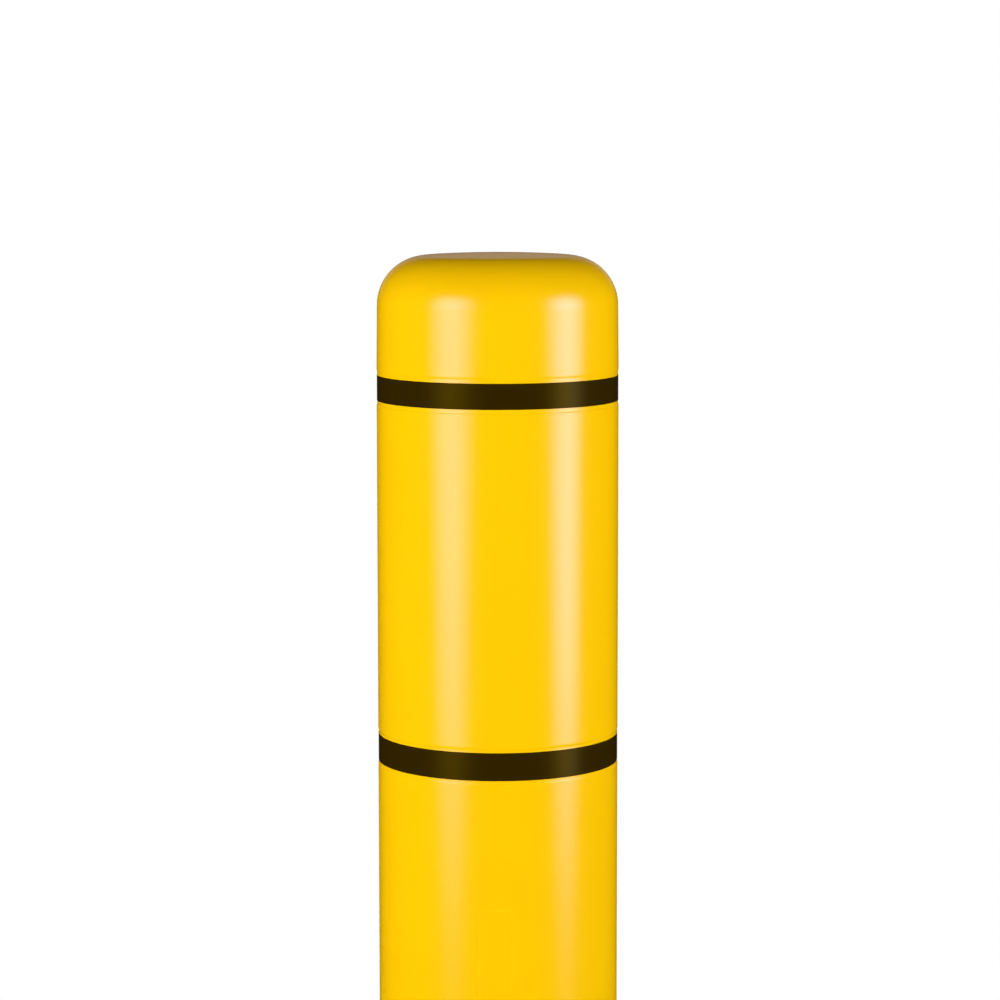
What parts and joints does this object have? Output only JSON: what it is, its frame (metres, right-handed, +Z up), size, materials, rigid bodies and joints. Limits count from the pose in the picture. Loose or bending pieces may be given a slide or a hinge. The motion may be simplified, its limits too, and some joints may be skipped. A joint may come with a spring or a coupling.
{
  "type": "bollard cover sleeve",
  "caption": "Tall yellow plastic sleeve with a rounded closed top and black tape bands, which slips down over a round steel bollard post.",
  "frame": {"origin": "middle of the bottom rim, on the sleeve's axis", "axes": "+Z up along the sleeve's axis, towards the domed top; -Y is the front"},
  "size_m": [0.1812, 0.1811, 1.321],
  "materials": {
    "sleeve_plastic": "satin",
    "tape_vinyl": "satin",
    "foam": "matte"
  },
  "bodies": {
    "root": {"sleeve_shell": "sleeve_plastic", "upper_tape_band": "tape_vinyl", "lower_tape_band": "tape_vinyl", "upper_foam_strip_1": "foam", "upper_foam_strip_2": "foam", "upper_foam_strip_3": "foam", "upper_foam_strip_4": "foam", "lower_foam_strip_1": "foam", "lower_foam_strip_2": "foam", "lower_foam_strip_3": "foam", "lower_foam_strip_4": "foam"}
  },
  "joints": []
}
